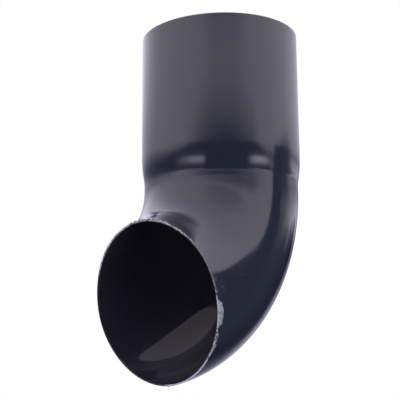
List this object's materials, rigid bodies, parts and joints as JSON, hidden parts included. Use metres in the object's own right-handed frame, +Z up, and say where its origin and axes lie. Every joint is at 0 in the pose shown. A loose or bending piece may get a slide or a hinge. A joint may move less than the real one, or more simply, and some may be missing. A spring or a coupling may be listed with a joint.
{
  "type": "downpipe shoe",
  "caption": "Bent steel outlet for the foot of a round rainwater pipe: socket above, smooth bend, open mouth turned forwards.",
  "frame": {"origin": "on the socket's axis, where the downpipe's end stops at the top of the shoulder", "axes": "+Z up along the socket, out of its open top; -Y forwards, the way the mouth opens; X across"},
  "size_m": [0.09, 0.1085, 0.1988],
  "materials": {
    "coated_steel": "smooth glossy anthracite coating on thin steel, bare metal at the sawn edge of the mouth"
  },
  "bodies": {
    "root": {"downpipe_shoe": "coated_steel"}
  },
  "joints": []
}
